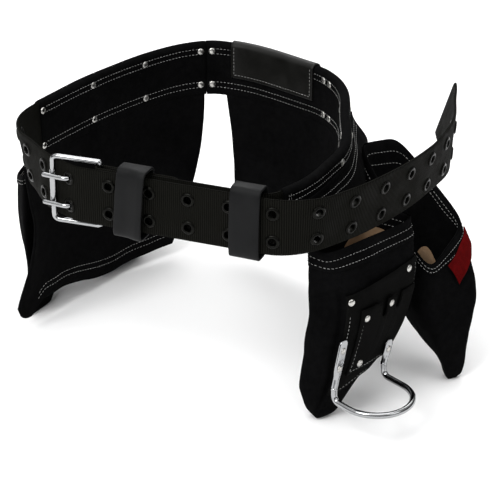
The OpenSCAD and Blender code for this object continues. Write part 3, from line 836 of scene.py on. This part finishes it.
def panel_shape(left, t, v):
    """A point of a panel: t along the belt, v down from the sleeve; both ends and the hem curve."""
    if left:
        a = SEAM + 3 + 40 * v ** 2.2
        b = KNOT_S[10] + 42 - 8 * sin(pi * v)
        lobe = 14 * (1 - sqrt(1 - max(0.0, (t - 0.93) / 0.07) ** 2))
        lobe -= 12 * smooth((t - 0.84) / 0.1)
        low = 8 + 6 * (1 - t) ** 2 + 16 * smooth((t - 0.35) / 0.4) + lobe
    else:
        a = RIGHT_SLEEVE[0] + 60 - 6 * v
        b = SEAM - 22 - 9 * sin(radians(120 * v))
        low = 34 - 4 * sin(pi * t)
    s = a + (b - a) * t
    z = SLEEVE_Z + 3 + (low - SLEEVE_Z - 3) * v
    w = PANEL_W
    if left:
        w += t ** 10 * (13 * v ** 3 - 6 * sin(pi * v) ** 2)
    swing = smooth(v) * (1 if left else 0.7)
    w += swing * wobble((s, 0, z * 0.4), 60, 5.0, 3.0 if left else 8.0)
    w += smooth(v * 3) * wobble((s, 0, z), 24, 1.2, 5.0)
    return belt_point(s, w, z, False)


def build_panel(name, left, piece):
    grid = np.array([[panel_shape(left, t, v) for t in np.linspace(0, 1, 90)]
                     for v in np.linspace(0, 1, 50)])
    obj = make(name, *thick_grid(grid, 1.15), SUEDE, slot="suede")
    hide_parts(piece)
    declare_hung(grid)


def sheet_size(grid):
    """A sheet's width, drop and area in metres: along its middle row, down its middle column."""
    row, col = grid[len(grid) // 2], grid[:, grid.shape[1] // 2]
    width, drop = (norm(np.diff(line, axis=0), axis=1).sum() * MM for line in (row, col))
    a = grid[1:, 1:] - grid[:-1, :-1]
    b = grid[1:, :-1] - grid[:-1, 1:]
    area = norm(np.cross(a, b), axis=2).sum() / 2 * MM * MM
    return width, drop, area


def declare_hung(grid):
    """Measures a hung sheet's width, drop and area; nothing is done with them."""
    width, drop, area = sheet_size(grid)


INWARD_S = 700


def panel_stitches():
    """Two rows along each hem, on both faces; the belt's back gives which face looks inward."""
    parts = Parts()
    for left in (True, False):
        for v in (0.9, 0.935):
            ts = np.linspace(0.05, 0.9 if left else 0.97, 120)
            pts = np.array([panel_shape(left, t, v) for t in ts])
            nrm = []
            for t, p in zip(ts, pts):
                a = panel_shape(left, t + 0.01, v) - p
                b = panel_shape(left, t, v - 0.02) - p
                n = np.cross(a, b)
                nrm.append(n / norm(n))
            nrm = np.array(nrm)
            nrm *= np.sign(nrm @ -belt_out(INWARD_S)).mean() or 1
            for side in (1, -1):
                stitch_line(parts, pts + side * nrm * 1.3, side * nrm)
    parts.make("thread_panels", THREAD)


YOKE = (RIGHT_SLEEVE[0] + 18, KNOT_S[4] + 26)


def yoke_point(t, v):
    """The outer layer between the right sleeve and its bags: it flares out below the strap."""
    s = YOKE[0] + (YOKE[1] - YOKE[0]) * t
    z = 212 - 8 * (1 - t) - v * (24 + 18 * sin(pi * min(t * 1.1, 1.0)) + 6 * t)
    flare = 4.0 + 11 * t
    w = SLEEVE_OUT + 1.3 + flare * smooth(v) + wobble((s, 0, z), 20, 0.8, 2.2) * smooth(v * 4)
    return belt_point(s, w, z, False)


def build_yoke():
    grid = grid_of(yoke_point, np.linspace(0, 1, 70), np.linspace(0, 1, 24))
    obj = make("yoke_right_suede", *thick_grid(grid, 0.9), SUEDE, slot="suede")
    declare_hung(grid)
    parts = Parts()
    for v in (0.2, 0.34):
        ts = np.linspace(0.03, 0.97, 120)
        pts = np.array([yoke_point(t, v) for t in ts])
        nrm = np.array([belt_out(YOKE[0] + (YOKE[1] - YOKE[0]) * t) for t in ts]) + (0, 0, 0.3)
        nrm /= norm(nrm, axis=1, keepdims=True)
        stitch_line(parts, pts + nrm * 1.0, nrm)
    parts.make("thread_yoke", THREAD)


# ---------- bags

MAIN = [
    [[86, -14, 166], [46, -108, 166], [64, -119, 162], [146, -44, 163]],
    [[88, -16, 118], [45, -106, 118], [82, -118, 116], [149, -50, 116]],
    [[86, -30, 62], [42, -104, 64], [76, -120, 62], [133, -58, 62]],
    [[70, -66, 30], [40, -102, 32], [68, -119, 30], [98, -86, 30]],
    [[66, -86, 8], [45, -100, 10], [58, -116, 8], [78, -102, 8]],
    [[62, -96, 0], [54, -101, 0], [58, -109, 0], [68, -103, 0]],
]
SECOND = [
    [[134, 64, 191], [95, 36, 196], [156, -48, 110], [194, 20, 126]],
    [[146, 56, 138], [97, 20, 150], [157, -51, 95], [201, 4, 104]],
    [[148, 40, 90], [104, 8, 94], [157, -53, 72], [206.5, -22, 78]],
    [[167, 14, 46], [138, -3, 46], [164, -52, 44], [201, -32, 46]],
    [[184, -14, 16], [168, -22, 16], [174, -48, 16], [194, -37, 16]],
    [[184, -25, 0], [175, -29, 0], [178, -40, 0], [187, -35, 0]],
]
LEFT_MAIN = [
    [[-148, 163, 160], [-86, 222, 160], [-118, 258, 150], [-184, 200, 150]],
    [[-148, 163, 90], [-88, 222, 90], [-122, 264, 90], [-190, 206, 90]],
    [[-150, 164, 30], [-98, 216, 30], [-128, 256, 30], [-188, 204, 30]],
    [[-156, 172, 0], [-112, 212, 0], [-130, 236, 0], [-174, 200, 0]],
]
LEFT_SMALL = [
    [[-206, 64, 152], [-158, 152, 160], [-194, 188, 140], [-217, 96, 140]],
    [[-208, 62, 112], [-160, 152, 110], [-196, 190, 110], [-219, 94, 110]],
    [[-207, 68, 50], [-170, 144, 46], [-198, 178, 46], [-211, 100, 48]],
    [[-210, 80, 0], [-190, 116, 0], [-202, 134, 0], [-213, 104, 0]],
]


def level_at(levels, v):
    """The four corners at a share v of the way down, on a smooth curve through the levels."""
    lv = np.array(levels, float)
    x = min(max(v, 0.0), 1.0) * (len(lv) - 1)
    i = min(int(x), len(lv) - 2)
    t = x - i
    a, b = lv[i], lv[i + 1]
    m0 = (b - lv[i - 1]) / 2 if i > 0 else b - a
    m1 = (lv[i + 2] - a) / 2 if i + 2 < len(lv) else b - a
    return ((2 * t ** 3 - 3 * t * t + 1) * a + (t ** 3 - 2 * t * t + t) * m0
            + (-2 * t ** 3 + 3 * t * t) * b + (t ** 3 - t * t) * m1)


def ring_point(level, angle, grow, power=0.35):
    """A point of the rounded four-cornered ring, at a polar angle in its own square."""
    c, s = cos(angle), sin(angle)
    r = (abs(c) ** (2 / power) + abs(s) ** (2 / power)) ** (-power / 2)
    a, b = (r * c + 1) / 2, (r * s + 1) / 2
    p = (level[0] * (1 - a) + level[1] * a) * (1 - b) + (level[3] * (1 - a) + level[2] * a) * b
    d = p - level.mean(axis=0)
    d[2] = 0
    return p + grow * d / max(norm(d), 1e-9) + np.array([*SHIFT, 0.0])


def crease(deg, v):
    """The soft fold that runs down the main bag beside the tool patch."""
    return 4.2 * exp(-((deg - 30 - 14 * v) / 7) ** 2) * smooth(v / 0.3) * smooth((0.9 - v) / 0.3)


def bag_point(levels, deg, v, grow=0.0, soft=1.0):
    level = level_at(levels, v)
    p = ring_point(level, radians(deg), 0.0)
    fade = soft * smooth(v / 0.12) * smooth((1 - v) / 0.06)
    push = fade * (wobble(p, 34, 3.4, 1.7) + wobble(p, 13, 0.8, 6.1))
    if levels is MAIN:
        push -= soft * crease(deg, v)
    return ring_point(level, radians(deg), grow + push)


BAG_ROWS, BAG_COLS, SUEDE_AND_SHADE_ROWS = 60, 128, 14
BAG_DEGS = np.linspace(0, 360, BAG_COLS, endpoint=False)


def bag_grid(levels, vs, grow):
    return grid_of(lambda deg, v: bag_point(levels, deg, v, grow), BAG_DEGS, vs)


def lining_v(row, deg, dark, raw):
    """How far down a lining row lies: the black suede ends at one row, nearest the rim at angle raw
    and up to three times deeper towards the side walls, that extra depth being painted shade.
    """
    # the black suede runs up to three times deeper towards the side walls: painted shade inside the
    # bag
    edge = dark * (1 + 2.0 * sin(radians(deg - raw)) ** 2)
    if row <= SUEDE_AND_SHADE_ROWS:
        return edge * row / SUEDE_AND_SHADE_ROWS
    return edge + (1 - edge) * (row - SUEDE_AND_SHADE_ROWS) / (BAG_ROWS - 1 - SUEDE_AND_SHADE_ROWS)


def lining_point(levels, deg, v):
    return bag_point(levels, deg, v, -2.6) + np.array([0.0, 0.0, 2.6 * v])


def build_bag(name, levels, piece, dark=0.12, raw=45, band=0.075):
    """Shell, lining (black suede to a share dark of the way down, deeper towards the side walls as
    painted shade, then raw tan) and a sewn rim band.
    """
    outer = bag_grid(levels, np.linspace(0, 1, BAG_ROWS), 0.0)
    inner = grid_of(lambda deg, row: lining_point(levels, deg, lining_v(row, deg, dark, raw)),
                    BAG_DEGS, range(BAG_ROWS))
    lip = (outer[:1] + inner[:1]) / 2 + np.array([0, 0, 0.9])
    floor = tuple(range(BAG_ROWS * BAG_COLS, (BAG_ROWS + 1) * BAG_COLS))
    verts, faces = loft(np.concatenate([lip, outer]), caps=False)
    obj = make(name + "_shell", verts, faces + [floor], SUEDE, slot="suede")
    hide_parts(piece)
    verts, faces = loft(np.concatenate([lip, inner])[:, ::-1], caps=False)
    # black suede inside the rim, its extra depth on the side walls painted shade
    split = SUEDE_AND_SHADE_ROWS * BAG_COLS + BAG_COLS
    facing_and_shade = [f for f in faces if min(f) < split]
    lining = [f for f in faces + [floor] if min(f) >= split]
    make(name + "_facing", verts, facing_and_shade, SUEDE, slot="suede")
    make(name + "_lining", verts, lining, TAN)
    edge = np.array([bag_point(levels, deg, 0.0, 0.2) for deg in BAG_DEGS])
    edge[:, 2] += 1.2
    collar = bag_grid(levels, np.linspace(0.0, band, 9), 1.0)
    foot = bag_grid(levels, [band + 0.003], -0.6)
    verts, faces = loft(np.concatenate([edge[None], collar, foot]), caps=False)
    make(name + "_rim_band", verts, faces, SUEDE, slot="suede")


def bag_line(levels, places, grow=1.25):
    """Points and outward normals along (degree, v) places on a bag."""
    pts, nrm = [], []
    for d, v in places:
        p = bag_point(levels, d, v, grow)
        above, below = max(v - 0.02, 0), min(v + 0.02, 1)
        a = bag_point(levels, d + 2, v, grow) - bag_point(levels, d - 2, v, grow)
        b = bag_point(levels, d, below, grow) - bag_point(levels, d, above, grow)
        n = np.cross(b, a)
        c = level_at(levels, v).mean(axis=0) + np.array([*SHIFT, 0.0])
        n /= max(norm(n), 1e-9)
        if n @ (p - c) < 0:
            n = -n
        pts.append(p)
        nrm.append(n)
    return np.array(pts), np.array(nrm)


RIM_STITCHES = ((MAIN, (0.028, 0.058)), (SECOND, (0.034, 0.076)), (LEFT_MAIN, (0.03, 0.06)),
                (LEFT_SMALL, (0.03, 0.06)))


def build_bag_stitches():
    """Two rows round each rim, outside and inside."""
    parts = Parts()
    for levels, lines in RIM_STITCHES:
        for v in lines:
            places = [(d, v) for d in np.linspace(2, 358, 220)]
            stitch_line(parts, *bag_line(levels, places, 1.35))
            pts, normals = bag_line(levels, places, -2.8)
            stitch_line(parts, pts, -normals)
    parts.make("thread_bag_rims", THREAD)


# ---------- tool patch and holder

PATCH_DEG, PATCH_V = (43, 133), (0.178, 0.61)


def front_at(deg, v, grow):
    """A point grow off the main bag's front, with under half of its wobble and crease."""
    return bag_point(MAIN, deg, v, grow, 0.45)


def front_normal(deg, v, grow):
    a = front_at(deg + 2, v, grow) - front_at(deg - 2, v, grow)
    b = front_at(deg, v + 0.02, grow) - front_at(deg, v - 0.02, grow)
    n = np.cross(b, a)
    return n / norm(n)


def front_line(places, grow):
    pts = [front_at(d, v, grow) for d, v in places]
    return pts, [front_normal(d, v, grow) for d, v in places]


def patch_edge(x, y):
    """Patch places from x along and y down it: both its edges rise towards the right."""
    deg = PATCH_DEG[0] + (PATCH_DEG[1] - PATCH_DEG[0]) * x
    low = PATCH_V[1] - 0.06 * smooth(x)
    top = PATCH_V[0] - 0.035 * x
    return deg, top + (low - top) * y


def build_tool_patch():
    def place(x, y):
        deg, v = patch_edge(x, y)
        lift = 1.9 + 0.9 * exp(-(y / 0.06) ** 2) * sin(pi * x) ** 2
        return front_at(deg, v, lift + wobble((deg, v * 200, 0), 18, 0.35, 4.0))
    grid = grid_of(place, np.linspace(0, 1, 60), np.linspace(0, 1, 34))
    obj = make("patch_leather", *thick_grid(grid, 0.9), PLATE, slot="suede")
    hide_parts("tool_patch")
    parts = Parts()
    for line in ([patch_edge(0.045, y) for y in np.linspace(0.16, 0.62, 40)],
                 [patch_edge(0.9, y) for y in np.linspace(0.04, 0.36, 30)],
                 [patch_edge(0.96, y) for y in np.linspace(0.04, 0.36, 30)],
                 [patch_edge(x, 0.95) for x in np.linspace(0.05, 0.8, 60)]):
        stitch_line(parts, *front_line(line, 2.95))
    parts.make("thread_patch", THREAD)


HOLDER_DEG, HOLDER_V = (58, 128), (0.238, 0.485)
HOLDER_SEAM = 3.0
NOTCHES = ((85, 0.05), (105, 0.045))
NOTCH_HALF = 4.2


def holder_top(deg):
    """How far down the bag the holder's edge lies: two deep U notches."""
    dip = 0.0
    for centre, depth in NOTCHES:
        x = abs(deg - centre) / NOTCH_HALF
        if x < 1:
            dip = max(dip, depth * (1 - x ** 4) ** 0.5)
    return HOLDER_V[0] + dip


def build_holder():
    """A slotted strip sewn on the patch: its notched top edge bellies out."""
    left, right = HOLDER_DEG

    def place(deg, y):
        top = holder_top(deg)
        belly = sin(pi * (deg - left) / (right - left)) ** 0.7
        grow = 4.3 + 1.8 * belly * (1 - y) ** 1.5
        return front_at(deg, top + (HOLDER_V[1] - top) * y, grow)
    grid = grid_of(place, np.linspace(left, right, 141), np.linspace(0, 1, 22))
    obj = make("holder_leather", *thick_grid(grid, 0.9), PLATE, slot="suede")
    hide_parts("slotted_holder")
    parts = Parts()
    side, low = left + HOLDER_SEAM, HOLDER_V[1] - 0.015
    lines = ([(side, v) for v in np.linspace(HOLDER_V[0] + 0.045, low, 40)],
             [(deg, low) for deg in np.linspace(side, right - HOLDER_SEAM, 50)])
    for line in lines:
        stitch_line(parts, *front_line(line, 5.35))
    parts.make("thread_holder", THREAD)


PATCH_CAPS = ((48, 0.2, 2.9), (121, 0.172, 2.9), (64, 0.268, 5.4), (94, 0.256, 6.6),
              (72, 0.445, 5.4))


def patch_caps():
    """Two caps at the patch's top corners and three on the holder."""
    return [(front_at(*place), front_normal(*place)) for place in PATCH_CAPS]


# ---------- hammer loop

LOOP_DIR, FACE_DIR, LOOP_Z, ARM_FOOT_Z = -50.0, -41.0, 30.0, 42.0
LOOP_R, ARM_HALF, ARM_THIN, ARM_TOP, LEG = 2.8, 5.0, 1.25, 5, 18
# foot in plan, lean in degrees, length, and where the rivets sit along the arm
ARMS = (((71.8, -130.0), 17.0, 44.0, (18, 34)), ((116.5, -84.4), 22.0, 22.0, (13,)))


def arm_place(arm, x, y, z):
    """A place on an arm: x along the bag's front, y inward, z up the leaning arm."""
    foot, t = arm[0], radians(arm[1])
    along_x, inward = unit(FACE_DIR + 90), -unit(FACE_DIR)
    p = np.array(foot) + SHIFT + along_x * (x * cos(t) + z * sin(t)) + inward * y
    return np.array([p[0], p[1], ARM_FOOT_Z - x * sin(t) + z * cos(t)])


def arm_loft(arm):
    """The flattened end of the rod: round at the foot, wide and thin above, round at the top."""
    length, rings = arm[2], []
    tip = length - ARM_TOP
    for z in np.concatenate([np.linspace(-2, 9, 12), np.linspace(11, tip, 8),
                             length - ARM_TOP * np.cos(np.linspace(0.3, pi / 2, 7))]):
        k = smooth((z / length - 0.2) / 0.2)
        half = LOOP_R + (ARM_HALF - LOOP_R) * k
        if z > tip:
            half = sqrt(max(0.3, ARM_TOP ** 2 - (z - length + ARM_TOP) ** 2))
        thin = LOOP_R + (ARM_THIN - LOOP_R) * k
        flat = 1 - 0.55 * k
        ring = []
        for a in circle(28):
            c, s = cos(a), sin(a)
            ring.append(arm_place(arm, half * copysign(abs(c) ** flat, c),
                                  thin * copysign(abs(s) ** flat, s), z))
        rings.append(ring)
    return loft(rings)


def loop_points():
    """The rod's centre line: down from one foot, out, round the half circle and back up."""
    axis, side = unit(LOOP_DIR), unit(LOOP_DIR + 90)
    left, right = (np.array(a[0]) for a in ARMS)
    half = float((right - left) @ side) / 2
    mid = left + LEG * axis + half * side

    def leg(foot):
        out = float((mid - foot) @ axis)
        turn = [(6 - 6 * cos(a), LOOP_Z + 6 - 6 * sin(a))
                for a in np.linspace(0, pi / 2, 9)]
        run = [(0, ARM_FOOT_Z + 1), (0, LOOP_Z + 9)] + turn
        run += [(x, LOOP_Z) for x in np.linspace(9, out, 6)]
        return [np.array([*(foot + d * axis + SHIFT), z]) for d, z in run]
    bow = [np.array([*(mid - half * cos(a) * side + half * sin(a) * axis + SHIFT), LOOP_Z])
           for a in np.linspace(0.06, pi - 0.06, 44)]
    return leg(left) + bow + leg(right)[::-1]


def build_hammer_loop():
    parts = Parts()
    parts.add(*tube(resample(loop_points(), 2.0), LOOP_R, 24))
    for arm in ARMS:
        parts.add(*arm_loft(arm))
    obj = parts.make("hammer_rod", CHROME, slot="chrome")
    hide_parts("hammer_loop")
    out = np.array([*unit(FACE_DIR), 0.0])
    places = [(arm_place(arm, 0, -1.4, z), out) for arm in ARMS for z in arm[3]]
    build_caps("caps_loop", places, "hammer_loop_rivets", LOOP_CAP)


# ---------- red tab

TAB = ((133, 0.02, 2.6), (134, 0.13, 4.0), (94, 0.27, 3.6), (79, 0.1, 2.8))


def build_tab():
    """A plain red leather tab sewn over the second bag's rim at its outer corner."""
    a, b, c, d = (np.array(corner) for corner in TAB)

    def place(x, y):
        deg, v, gap = (a * (1 - x) + b * x) * (1 - y) + (d * (1 - x) + c * x) * y
        p = bag_point(SECOND, deg, v, gap)
        return p + np.array([0.5, -0.8, 0.0]) * wobble(p, 12, 0.4)
    grid = grid_of(place, np.linspace(0, 1, 14), np.linspace(0, 1, 26))
    obj = make("tab_red", *thick_grid(grid, 0.75), RED, slot="red_leather")
    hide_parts("side_tab")


# ---------- scene

CAMERA_LOW, CAMERA_FAR, CAMERA_LENS = 26, 1.9, 153.2


def build_camera():
    cam = bpy.data.cameras.new("camera")
    obj = add_object("camera", cam)
    target = Vector((SHIFT[0] * MM, SHIFT[1] * MM, 0.110))
    e = radians(CAMERA_LOW)
    away = Vector((0, -cos(e), sin(e)))
    obj.location = target + away * CAMERA_FAR
    obj.rotation_euler = (-away).to_track_quat("-Z", "Y").to_euler()
    cam.sensor_width = 36
    cam.lens = CAMERA_LENS
    cam.clip_end = 50
    bpy.context.scene.camera = obj


def build_floor():
    mesh = bpy.data.meshes.new("floor")
    mesh.from_pydata([(-6, -6, 0), (6, -6, 0), (6, 6, 0), (-6, 6, 0)], [], [(0, 1, 2, 3)])
    m, tree, bsdf = new_material("floor_paint", Roughness=0.9)
    cloud = noise_from(tree, object_coords(tree), 3, 2)
    coat(tree, bsdf, cloud, [(0.3, (0.9, 0.9, 0.9)), (0.7, (0.93, 0.93, 0.93))])
    mesh.materials.append(m)
    obj = add_object("floor", mesh)


def area_light(name, spot, aim, size, power):
    light = bpy.data.lights.new(name, "AREA")
    light.shape = "RECTANGLE"
    light.size, light.size_y = size
    light.energy = power
    obj = add_object(name, light)
    obj.location = spot
    obj.rotation_euler = (Vector(aim) - Vector(spot)).to_track_quat("-Z", "Y").to_euler()


def build_world():
    """Soft white above, dimmer towards the horizon, so that metal shows an edge to reflect."""
    world = bpy.data.worlds.new("studio")
    bpy.context.scene.world = world
    world.use_nodes = True
    tree = world.node_tree
    at = tree.nodes.new("ShaderNodeTexCoord")
    split = tree.nodes.new("ShaderNodeSeparateXYZ")
    tree.links.new(at.outputs["Generated"], split.inputs[0])
    sky = ramp(tree, split.outputs["Z"], [(0.0, (0.9, 0.9, 0.9)), (0.03, (0.05, 0.05, 0.055)),
                                          (0.28, (0.22, 0.22, 0.23)), (0.6, (1.0, 1.0, 1.0))])
    strength = span(tree, split.outputs["X"], 1.25, 0.35, -1.0, 1.0)
    tree.links.new(strength, tree.nodes["Background"].inputs["Strength"])
    tree.links.new(sky, tree.nodes["Background"].inputs["Color"])


def build_lights():
    build_world()
    area_light("key", (-1.4, -1.6, 2.2), (0, 0, 0.1), (1.4, 1.4), 48)
    area_light("fill", (1.8, -1.2, 1.6), (0, 0, 0.1), (1.2, 1.6), 10)
    area_light("rim", (0.2, 2.0, 1.8), (0, 0, 0.15), (2.0, 1.0), 26)
    area_light("top", (0.0, 0.0, 2.6), (0, 0, 0.0), (2.5, 2.5), 40)
    bpy.context.scene.view_settings.view_transform = "Standard"


build_camera()
build_floor()
build_lights()
build_strap()
build_eyelets()
build_buckle()
build_prongs()
build_chape()
build_keeper("keeper_by_buckle", 32, 4.2, 2.6)
build_keeper("keeper_by_sleeve", 136, 0.6, 0.8)
build_sleeve("sleeve_left_suede", LEFT_SLEEVE, "left_sleeve")
build_sleeve("sleeve_right_suede", RIGHT_SLEEVE, "right_sleeve")
build_sleeve_stitches()
build_caps("caps_left", sleeve_caps(LEFT_RIVET_S), "left_sleeve_rivets")
build_caps("caps_right", sleeve_caps(RIGHT_RIVET_S), "right_sleeve_rivets")
build_back_patch()
build_panel("panel_left_suede", True, "left_panel")
build_panel("panel_right_suede", False, "right_panel")
panel_stitches()
build_yoke()
build_bag("right_main", MAIN, "right_main_bag", dark=0.08, raw=190)
build_bag("right_second", SECOND, "right_second_bag", dark=0.34, raw=205, band=0.1)
build_bag("left_main", LEFT_MAIN, "left_main_bag")
build_bag("left_small", LEFT_SMALL, "left_small_bag")
build_bag_stitches()
build_tool_patch()
build_holder()
build_caps("caps_patch", patch_caps(), "patch_rivets")
build_hammer_loop()
build_tab()
